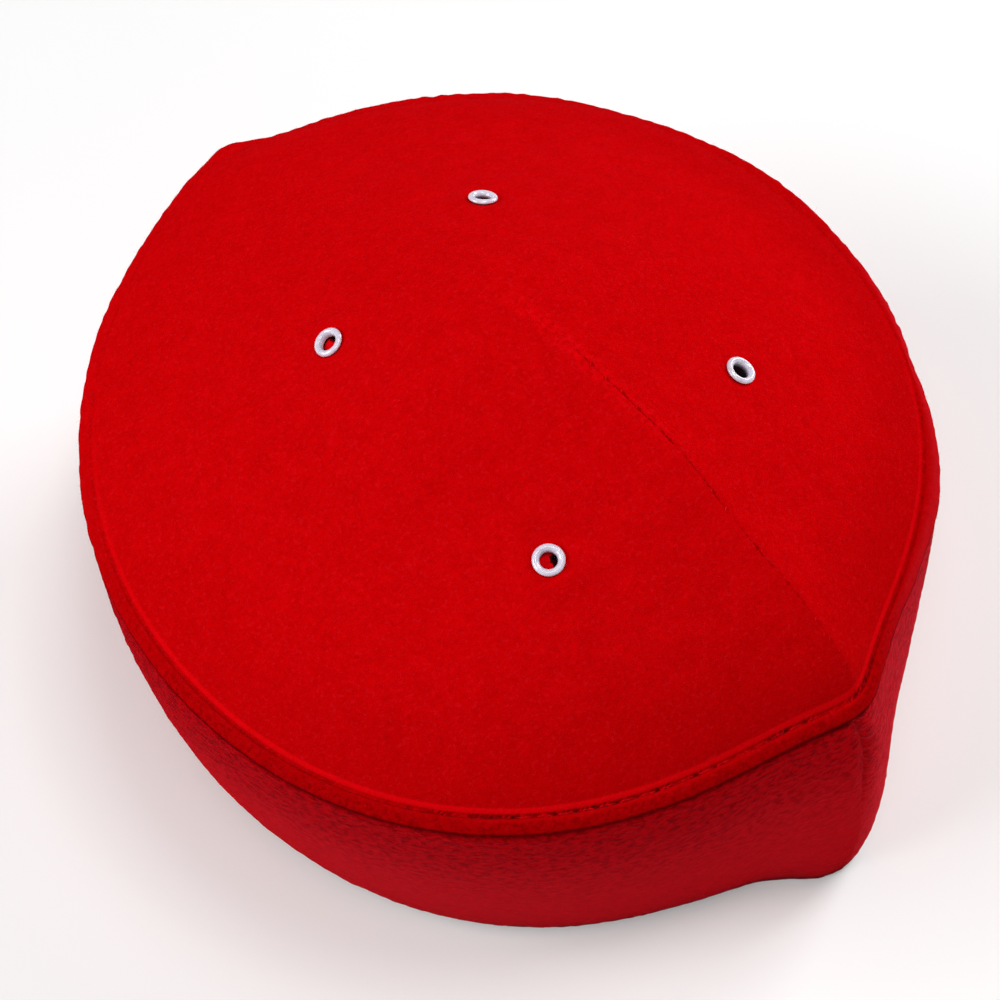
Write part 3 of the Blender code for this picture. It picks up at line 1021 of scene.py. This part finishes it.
class Graph:
    """A new material's nodes, round its own Principled shader."""

    def __init__(self, name):
        self.material = bpy.data.materials.new(name)
        self.material.use_nodes = True
        self.tree = self.material.node_tree
        self.shader = self.tree.nodes["Principled BSDF"]
        self.place = self.add("TexCoord", output="Object")

    def feed(self, item, inputs):
        for key, value in inputs.items():
            if isinstance(value, Value):
                self.tree.links.new(value.socket, item.inputs[key])
            else:
                item.inputs[key].default_value = value

    def new(self, kind, inputs, settings):
        item = self.tree.nodes.new("ShaderNode" + kind)
        for key, value in settings.items():
            setattr(item, key, value)
        self.feed(item, inputs)
        return item

    def add(self, kind, inputs=None, output=0, **settings):
        return Value(self, self.new(kind, inputs or {}, settings).outputs[output])

    def math(self, operation, first, second=None):
        inputs = {0: first} if second is None else {0: first, 1: second}
        return self.add("Math", inputs, operation=operation)

    def split(self, vector):
        outputs = self.new("SeparateXYZ", {0: vector}, {}).outputs
        return Value(self, outputs[0]), Value(self, outputs[1])

    def map(self, name):
        return self.add("UVMap", uv_map=name)

    def attribute(self, name):
        return self.add("Attribute", output="Fac", attribute_name=name)

    def scaled(self, vector, scale, turn=0.0):
        return self.add("Mapping", {"Vector": vector, "Scale": scale, "Rotation": (0.0, 0.0, turn)})

    def turned(self, vector, turn):
        return self.scaled(vector, (1.0, 1.0, 1.0), turn)

    def noise(self, vector, scale, detail=3.0, roughness=0.55, distortion=0.0):
        inputs = {"Vector": vector, "Scale": scale, "Detail": detail}
        inputs.update({"Roughness": roughness, "Distortion": distortion})
        return self.add("TexNoise", inputs)

    def ramp(self, factor, low, dark, high, light):
        item = self.new("ValToRGB", {0: factor}, {})
        for element, place, colour in zip(item.color_ramp.elements, (low, high), (dark, light)):
            element.position = place
            element.color = (*colour, 1.0)
        return Value(self, item.outputs[0])

    def mix(self, factor, colour, over):
        inputs = {"Factor": factor, 6: colour, 7: (*over, 1.0)}
        return self.add("Mix", inputs, 2, data_type="RGBA")

    def bump(self, height, strength, distance, **normal):
        inputs = {"Height": height, "Strength": strength, "Distance": distance, **normal}
        return self.add("Bump", inputs)

    def finish(self, colour, **inputs):
        """Sets the shader; an input's name is written with _ for each space."""
        named = {key.replace("_", " "): value for key, value in inputs.items()}
        self.feed(self.shader, {"Base Color": colour, **named})
        return self.material


Felt = namedtuple("Felt", "name dark light sheen bump_height")
TOP_FELT = Felt("red_felt_top", (0.44, 0.0001, 0.0004), (0.64, 0.0008, 0.0026), 0.07, 0.36 * MM)
# The band on the wearer's left is a lit copy of the right one: its lighter red is painted light.
LIT_LEFT_FELT = Felt(
    "red_felt_side_left_lit", (0.43, 0.0003, 0.0016), (0.70, 0.0012, 0.0045), 0.28, 1.0 * MM
)
RIGHT_FELT = Felt("red_felt_side", (0.38, 0.0003, 0.0016), (0.62, 0.0012, 0.0045), 0.13, 1.0 * MM)
INNER_FELT = Felt("red_felt_inside", (0.60, 0.0004, 0.0020), (0.78, 0.002, 0.006), 0.02, 0.5 * MM)

# Colours laid over the felt: painted sheen on the band and on the roll, flecks of lighter wool, and
# painted shade down the eyelets' holes.
SHEEN_RED = (0.62, 0.008, 0.014)
FLECK_RED = (0.70, 0.012, 0.022)
ROLL_SHEEN_RED = (0.56, 0.010, 0.017)
HOLE_WALL_SHADE = (0.012, 0.001, 0.002)
BUMP_STRENGTH = 0.8


def shade(red, share):
    return (red[0] * share, red[1], red[2])


def deep_shade(red, share):
    return (red[0] * share, 0.0, 0.0)


def mix_felt(graph, brushed, felt):
    """The felt's colour and height from its grain, tufts, brushed streaks and clouds."""
    grain = graph.noise(graph.place, 1500.0, 6.0, 0.68)
    tufts = graph.noise(graph.place, 900.0, 3.0, 0.55, 0.5)
    streaks = graph.noise(brushed, 1.0, 4.0, 0.6, 0.4)
    clouds = graph.noise(graph.place, 230.0, 3.0, 0.5)
    mixed = grain * 0.30 + streaks * 0.12 + tufts * 0.36 + clouds * 0.22
    height = grain * 0.5 + streaks * 0.14 + tufts * 0.35
    return graph.ramp(mixed, 0.30, felt.dark, 0.70, felt.light), height, streaks, tufts


def finish_felt(graph, colour, sheen, roughness=0.95, **normal):
    """Sets the shader of felt or its fibres: dull, with a sheen of loose wool."""
    return graph.finish(
        colour,
        Roughness=roughness,
        Specular_IOR_Level=0.0,
        Sheen_Weight=sheen,
        Sheen_Roughness=0.25,
        Sheen_Tint=(1.0, 0.15, 0.22, 1.0),
        **normal,
    )


# How much of the wool parts, how dark it is in the partings, and how much shade is painted over it
# all over.
Wool = namedtuple("Wool", "parts_by parted overall")


def part_wool(graph, colour, height, dark, wool, wool_and_shade, seam_shade, look):
    """Darkens the felt where its wool parts, paints shade over the wool and beside a seam, and
    raises the tufts between.
    """
    parted = wool.eased(0.36, look.parts_by, 1.0, 0.0)
    shaded = parted * wool_and_shade * look.parted + wool_and_shade * look.overall
    colour = graph.mix(shaded, colour, shade(dark, 0.42))
    colour = graph.mix(seam_shade, colour, shade(dark, 0.12))
    return colour, height + wool * (wool_and_shade * 0.9)


def lining_material(felt):
    graph = Graph(felt.name)
    brushed = graph.scaled(graph.turned(graph.place, 0.0), (300.0, 1000.0, 1000.0))
    colour, height, _, _ = mix_felt(graph, brushed, felt)
    normal = graph.bump(height, BUMP_STRENGTH, felt.bump_height)
    return finish_felt(graph, colour, felt.sheen, Normal=normal)


def band_material(felt):
    """Felt whose wool parts under the roll; painted sheen above its middle, painted shade at its
    edges.
    """
    graph = Graph(felt.name)
    cloth = graph.map("cloth")
    down = graph.split(cloth)[1]
    brushed = graph.scaled(cloth, (260.0, 1050.0, 1.0))
    colour, height, streaks, _ = mix_felt(graph, brushed, felt)
    leaning = graph.scaled(graph.turned(cloth, -0.12), (520.0, 950.0, 1.0))
    wool = graph.noise(leaning, 1.0, 4.0, 0.60, 0.35)
    # The wool is strongest under the roll, with painted shade laid over it there.
    wool_and_shade = (down - streaks * (10.0 * MM)).eased(2.0 * MM, 36.0 * MM, 1.0, 0.25)
    # Painted shade: under the roll, darker towards the foot, and in a line along the foot's edge.
    shade_under_roll = down.eased(0.9 * MM, 2.4 * MM, 0.95, 0.0)
    low = down.eased(50.0 * MM, 72.0 * MM, 0.0, 0.22)
    foot_edge_shade = down.eased(65.5 * MM, 69.5 * MM, 0.0, 0.6)
    # Painted sheen: a paler, pinker red laid over the band above its middle.
    painted_sheen = down.eased(14.0 * MM, 64.0 * MM, 0.45, 0.0) * down.eased(6.0 * MM, 24.0 * MM)
    colour = graph.mix(painted_sheen, colour, SHEEN_RED)
    edges = shade_under_roll + low + foot_edge_shade
    look = Wool(parts_by=0.58, parted=0.62, overall=0.12)
    colour, height = part_wool(graph, colour, height, felt.dark, wool, wool_and_shade, edges, look)
    normal = graph.bump(height, BUMP_STRENGTH, felt.bump_height)
    return finish_felt(graph, colour, felt.sheen, Normal=normal)


def stitch_pits(along, across, across_from, across_to, half_length, start):
    """A soft spot at every stitch along a seam map: 1 in the pit and 0 away from it."""
    from_stitch = abs((along + start).fraction() - 0.5) * (STITCH_PITCH / MM)
    centre = (across_from + across_to) / 2.0
    from_line = abs(across - centre) / ((across_to - across_from) / 2.0)
    square = (from_stitch / half_length) ** 2.0 + from_line**2.0
    return square.eased(0.1, 1.3, 1.0, 0.0)


def crown_material(felt):
    """The panel's felt, with the stitched ridge, the topstitched rim and the roll's wool."""
    graph = Graph(felt.name)
    place = graph.place
    turned_place = graph.turned(place, math.radians(45.0))
    brushed = graph.scaled(turned_place, (300.0, 1000.0, 1000.0))
    colour, height, _, tufts = mix_felt(graph, brushed, felt)

    # Places along the seams are counted in stitches: on the rim from the back corner round to it,
    # on the ridge from the hat's middle forwards. Places across them are in millimetres.
    rim_map, ridge_map = graph.map("rim_seam"), graph.map("ridge_seam")
    rim_along, rim_out = graph.split(rim_map)
    ridge_along, ridge_across = graph.split(ridge_map)

    def from_turn(turn):
        return abs(rim_along - turn * RIM_STITCHES)

    def over_turns(value, low, high, to_low=0.0, to_high=1.0):
        return value.eased(low * RIM_STITCHES, high * RIM_STITCHES, to_low, to_high)

    quilted = over_turns(from_turn(0.40), 0.12, 0.30, 1.0, 0.0)
    towards_right = over_turns(from_turn(0.55), 0.15, 0.42, 1.0, 0.15)
    left_rim = over_turns(rim_along, 0.50, 0.57)
    # Painted shade on the panel near the rim, strongest near the front corner.
    shade_near_rim = rim_out.eased(-22.0, -3.0, 0.0, 0.30) * towards_right
    # Painted sheen: a paler, pinker red on the roll's outer side on the wearer's left.
    roll_sheen = left_rim * rim_out.eased(1.2, 2.6, 0.0, 0.5)
    roll_sheen = roll_sheen * over_turns(rim_along, 0.66, 0.74, 1.0, 0.0)
    flecks = graph.noise(place, 1250.0, 2.0).eased(0.54, 0.70) * 0.17
    colour = graph.mix(shade_near_rim, colour, shade(felt.dark, 0.6))
    colour = graph.mix(flecks, colour, FLECK_RED)
    colour = graph.mix(roll_sheen, colour, ROLL_SHEEN_RED)

    wool = graph.noise(place, 950.0, 4.0, 0.62, 0.2)
    # The roll's wool, with painted shade on its outer side where it turns down and away; less on
    # the wearer's left.
    wool_and_shade = rim_out.eased(1.0, 2.1, 0.0, 0.9) * quilted * (1.0 - left_rim * 0.65)
    # Painted shade on the roll's underside.
    shade_under_roll = rim_out.eased(3.4, 3.72, 0.0, 0.8) * quilted
    look = Wool(parts_by=0.54, parted=0.40, overall=0.36)
    colour, height = part_wool(graph, colour, height, felt.dark, wool, wool_and_shade, shade_under_roll, look)
    normal = graph.bump(height, BUMP_STRENGTH, felt.bump_height)

    uneven = graph.noise(place, 190.0, 2.0).eased(0.35, 0.6, 0.15, 1.0)
    ridge_shown = ridge_along.eased(2.0, 5.0, 0.0, 0.75) * uneven
    ridge_shown = ridge_shown * ridge_along.eased(16.0, 21.0, 1.0, 0.3)
    broken = graph.scaled(ridge_map, (3.4, 0.5, 1.0))
    bent = (graph.noise(broken, 0.7, 2.0) - 0.5) * 0.9
    crease = abs(ridge_across + bent).eased(0.04, 0.26, 1.0, 0.0)
    crease = crease * graph.noise(broken, 1.0, 3.0).eased(0.42, 0.56, 0.1, 0.85)
    ridge_pits = stitch_pits(ridge_along, ridge_across, -0.42, 0.42, 0.42, 0.0)
    ridge_pits = (ridge_pits * 0.75).or_more(crease) * ridge_shown

    rim_shown = from_turn(0.43).eased(6.0, 18.0, 1.0, 0.25) * uneven
    rim_pits = stitch_pits(rim_along, rim_out, 0.38, 1.02, 0.6, 0.5)
    twisted = graph.scaled(graph.scaled(rim_map, (4.0, 1.0, 1.0), 0.60), (0.85, 2.6, 1.0))
    twisted = graph.noise(twisted, 1.0, 3.0)
    in_groove = rim_out.eased(0.15, 0.45) * rim_shown * rim_out.eased(0.95, 1.3, 1.0, 0.0)
    dashes = twisted.eased(0.46, 0.56, 0.0, 0.85) * in_groove
    pits = (rim_pits * rim_shown).or_more(ridge_pits).or_more(dashes)

    # Painted highlights: the ridge's crest, the lip inside the rim's stitches and glints on the
    # rim's thread get a lighter red.
    crest = abs(ridge_across).eased(0.8, 3.0, 1.0, 0.0) * ridge_along.eased(-2.5, 0.0)
    crest = crest * ridge_along.eased(7.0, 13.0, 0.26, 0.0) * tufts.eased(0.40, 0.60)
    lip = rim_out.eased(-0.85, -0.35) * rim_out.eased(0.0, 0.38, 0.50, 0.0) * quilted
    thread_glints = twisted.eased(0.36, 0.45, 0.5, 0.0) * in_groove
    red, green, blue = felt.light
    wear_and_highlight = (min(1.0, red * 1.35), green * 2.0, blue * 2.0)
    highlight_mask = crest.or_more(lip).or_more(thread_glints)
    colour = graph.mix(highlight_mask, colour, wear_and_highlight)
    # Painted shade in the groove of the rim's stitches.
    groove = (1.0 - abs(rim_out - 0.7).eased(0.1, 0.45)) * 0.12 * quilted
    colour = graph.mix(groove, colour, deep_shade(felt.dark, 0.4))
    # Painted shade down the walls of the eyelets' holes.
    cut = graph.attribute("cut_depth").eased(0.05, 0.40, 0.0, 0.92)
    colour = graph.mix(cut, colour, HOLE_WALL_SHADE)
    # Painted shade in the stitch pits, in the ridge's crease and in the dashes in the rim's groove.
    colour = graph.mix(pits * 0.85, colour, deep_shade(felt.dark, 0.10))
    normal = graph.bump(pits, 1.0, -0.2 * MM, Normal=normal)
    return finish_felt(graph, colour, felt.sheen, Normal=normal)


def fibre_material(name, dark, light, sheen):
    graph = Graph(name)
    tone = (graph.attribute("fibre_tone") + graph.noise(graph.place, 90.0, 2.0)) * 0.5
    return finish_felt(graph, graph.ramp(tone, 0.2, dark, 0.75, light), sheen, roughness=0.9)


def enamel_material():
    graph = Graph("white_enamel")
    mottle = graph.noise(graph.place, 900.0, 3.0)
    wear_and_highlight = graph.noise(graph.place, 4200.0, 2.0).eased(0.74, 0.80) * 0.5
    colour = graph.ramp(mottle, 0.3, (0.60, 0.555, 0.665), 0.7, (0.77, 0.715, 0.84))
    colour = graph.mix(wear_and_highlight, colour, (0.30, 0.20, 0.24))
    # Painted shade down the eyelet's bore.
    colour = graph.mix(graph.attribute("inside"), colour, (0.014, 0.012, 0.018))
    return graph.finish(
        colour,
        Normal=graph.bump(mottle, 0.25, 0.02 * MM),
        Roughness=mottle.eased(0.3, 0.7, 0.16, 0.30),
        Coat_Weight=0.8,
        Coat_Roughness=0.10,
    )


def thread_material(name, dark, light):
    graph = Graph(name)
    twist = graph.noise(graph.place, 2600.0, 2.0)
    return graph.finish(
        graph.ramp(twist, 0.35, dark, 0.65, light),
        Normal=graph.bump(twist, 0.6, 0.08 * MM),
        Roughness=0.8,
        Specular_IOR_Level=0.0,
    )


def floor_material():
    graph = Graph("studio_white")
    clouds = graph.noise(graph.place, 3.0, 2.0)
    colour = graph.ramp(clouds, 0.3, (0.92, 0.92, 0.92), 0.7, (0.94, 0.94, 0.94))
    return graph.finish(colour, Roughness=0.9, Specular_IOR_Level=0.0)


# ---------------------------------------------------------------- the hat


def near_eyelet(places, reach):
    close = np.zeros(len(places), dtype=bool)
    for point, _ in EYELET_FRAMES.values():
        close |= np.linalg.norm(places - np.array(point), axis=1) < reach
    return close


def crown_nap_keep(places, normals):
    outside = (normals[:, 2] > 0.05) | (np.hypot(places[:, 0], places[:, 1]) > 82.0 * MM)
    return np.where(outside & ~near_eyelet(places, 3.4 * MM), 1.0, 0.0)


def band_nap_keep(places, normals):
    outwards = places * (1.0, 1.0, 0.0)
    facing = (outwards * normals).sum(axis=1) > 0.0
    return np.where(facing, 1.0, 0.0)


def lay_over_crown(places):
    return np.tile((0.7, -0.7, 0.0), (len(places), 1))


def lay_round_band(places):
    return np.column_stack([-places[:, 1], places[:, 0], 0 * places[:, 2]]) * 8.0


def dress(piece, material, node=None):
    piece.data.materials.clear()
    piece.data.materials.append(material)
    if node:
        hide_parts(node)
    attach(piece, "root")


def build_hat():
    crown = make_crown_felt()
    punch_crown(crown)
    left = make_band("band_felt_left", 1.0)
    right = make_band("band_felt_right", -1.0)
    lining = make_lining()
    add_bulges(lining)
    punch_lining(lining)

    dress(crown, crown_material(TOP_FELT), "top_panel")
    dress(left, band_material(LIT_LEFT_FELT), "side_band_left")
    dress(right, band_material(RIGHT_FELT), "side_band_right")
    dress(lining, lining_material(INNER_FELT), "top_lining")

    enamel = enamel_material()
    for eyelet in EYELETS:
        dress(make_eyelet(eyelet), enamel, eyelet.name)

    nap = fibre_material("red_fibre_top", (0.46, 0.0002, 0.0012), (0.76, 0.003, 0.010), 0.07)
    fibres = make_nap("crown_nap", crown, 95000, 61, crown_nap_keep, lay_over_crown)
    dress(fibres, nap)
    nap = fibre_material("red_fibre_side", (0.42, 0.0006, 0.0022), (0.78, 0.008, 0.018), 0.22)
    for name, band, seed in (("band_nap_left", left, 62), ("band_nap_right", right, 63)):
        fibres = make_nap(name, band, 80000, seed, band_nap_keep, lay_round_band)
        dress(fibres, nap)

    thread = thread_material("red_thread_rim", (0.34, 0.0006, 0.002), (0.62, 0.004, 0.006))
    dress(make_rim_stitches(), thread)
    thread = thread_material("red_thread_ridge", (0.50, 0.001, 0.003), (0.78, 0.008, 0.006))
    dress(make_ridge_stitches(), thread)


# ---------------------------------------------------------------- camera, light and floor

# The camera as it stood for the photograph.
CAMERA_ELEVATION = math.radians(59.595)
CAMERA_AZIMUTH = math.radians(-45.685)
CAMERA_ROLL = math.radians(-0.179)
CAMERA_TARGET = Vector((-11.37 * MM, -4.13 * MM, 60.0 * MM))
CAMERA_DISTANCE = 338.30 * MM
SENSOR_WIDTH = 36.0
LENS_TO_SENSOR = 1.5287

# Lamps over and round the hat: where each stands, how high it aims, its size and its power.
Lamp = namedtuple("Lamp", "name place aim_height width height power")
LAMPS = (
    Lamp("overhead", (0.24, -0.08, 1.12), 0.09, 0.34, 0.34, 3.4),
    Lamp("overhead_fill", (-0.30, -0.30, 1.10), 0.09, 0.6, 0.6, 4.2),
    Lamp("from_right", (1.0, -0.05, 0.42), 0.06, 0.5, 0.6, 6.9),
    Lamp("from_left", (-0.85, 0.55, 0.62), 0.06, 0.8, 0.6, 8.8),
    Lamp("from_behind", (0.62, 0.95, 0.36), 0.06, 0.9, 0.5, 0.5),
    Lamp("from_front", (0.30, -1.05, 0.40), 0.06, 0.7, 0.5, 1.4),
)
SKY_STRENGTH = 0.05
FLOOR_SIZE = 6.0


def aim_camera():
    forward = math.cos(CAMERA_ELEVATION)
    back = Vector(
        (
            math.sin(CAMERA_AZIMUTH) * forward,
            -math.cos(CAMERA_AZIMUTH) * forward,
            math.sin(CAMERA_ELEVATION),
        )
    )
    right = (-back).cross(Vector((0.0, 0.0, 1.0))).normalized()
    up = right.cross(-back)
    turned_right = math.cos(CAMERA_ROLL) * right + math.sin(CAMERA_ROLL) * up
    turned_up = -math.sin(CAMERA_ROLL) * right + math.cos(CAMERA_ROLL) * up
    stand = Matrix((turned_right, turned_up, back)).transposed().to_4x4()
    stand.translation = CAMERA_TARGET + back * CAMERA_DISTANCE
    camera = link("camera", bpy.data.cameras.new("camera"))
    camera.matrix_world = stand
    camera.data.sensor_width = SENSOR_WIDTH
    camera.data.lens = SENSOR_WIDTH * LENS_TO_SENSOR
    camera.data.clip_start = 0.01
    camera.data.clip_end = 20.0
    bpy.context.scene.camera = camera


def light_studio():
    world = bpy.data.worlds.new("studio")
    bpy.context.scene.world = world
    world.use_nodes = True
    background = world.node_tree.nodes["Background"]
    background.inputs["Color"].default_value = (1.0, 1.0, 1.0, 1.0)
    background.inputs["Strength"].default_value = SKY_STRENGTH
    for lamp in LAMPS:
        data = bpy.data.lights.new(lamp.name, "AREA")
        data.shape = "RECTANGLE"
        data.size, data.size_y = lamp.width, lamp.height
        data.energy = lamp.power
        light = link(lamp.name, data)
        light.location = lamp.place
        light.rotation_mode = "QUATERNION"
        aim = Vector((0.0, 0.0, lamp.aim_height)) - Vector(lamp.place)
        light.rotation_quaternion = aim.to_track_quat("-Z", "Y")
    bpy.ops.mesh.primitive_plane_add(size=FLOOR_SIZE, location=(0.0, 0.0, 0.0))
    floor = bpy.context.object
    floor.name = "floor"
    floor.data.materials.append(floor_material())
    view = bpy.context.scene.view_settings
    view.view_transform = "Standard"
    view.look = "None"
    view.exposure = 0.0
    view.gamma = 1.0


build_hat()
light_studio()
aim_camera()
